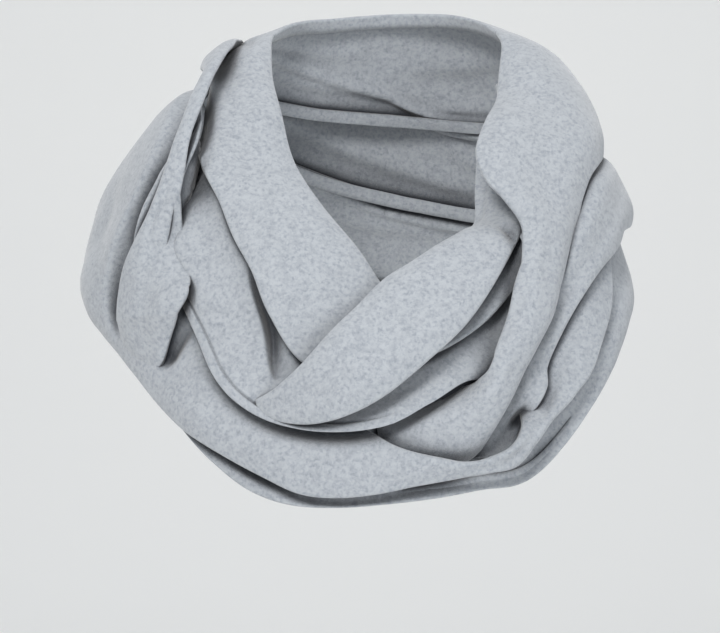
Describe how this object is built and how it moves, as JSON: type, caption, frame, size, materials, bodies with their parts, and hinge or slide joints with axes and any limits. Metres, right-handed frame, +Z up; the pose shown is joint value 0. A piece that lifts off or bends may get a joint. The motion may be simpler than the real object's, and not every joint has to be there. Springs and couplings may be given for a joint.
{
  "type": "infinity scarf, worn, wound twice",
  "caption": "Infinity scarf of brushed light grey melange knit, wound twice round the neck in loose folds that cross over the chest, with rolled narrow hems.",
  "frame": {"origin": "middle of the nape, on the inner face of the scarf's back, where the neck carries it", "axes": "+Z up, the wearer faces -Y, +X to the wearer's left; the neck's axis runs along Z at y = -0.060"},
  "size_m": [0.3194, 0.2855, 0.2864],
  "materials": {
    "knit": "brushed, matte"
  },
  "bodies": {
    "root": {"neck_fold_left": "knit", "cross_fold": "knit", "cowl_fold": "knit", "neck_fold_right": "knit", "side_fold_left": "knit", "shoulder_fold_right": "knit", "front_drape": "knit", "under_drape": "knit", "nape_upper": "knit", "nape_middle": "knit", "nape_lower": "knit"}
  },
  "joints": []
}
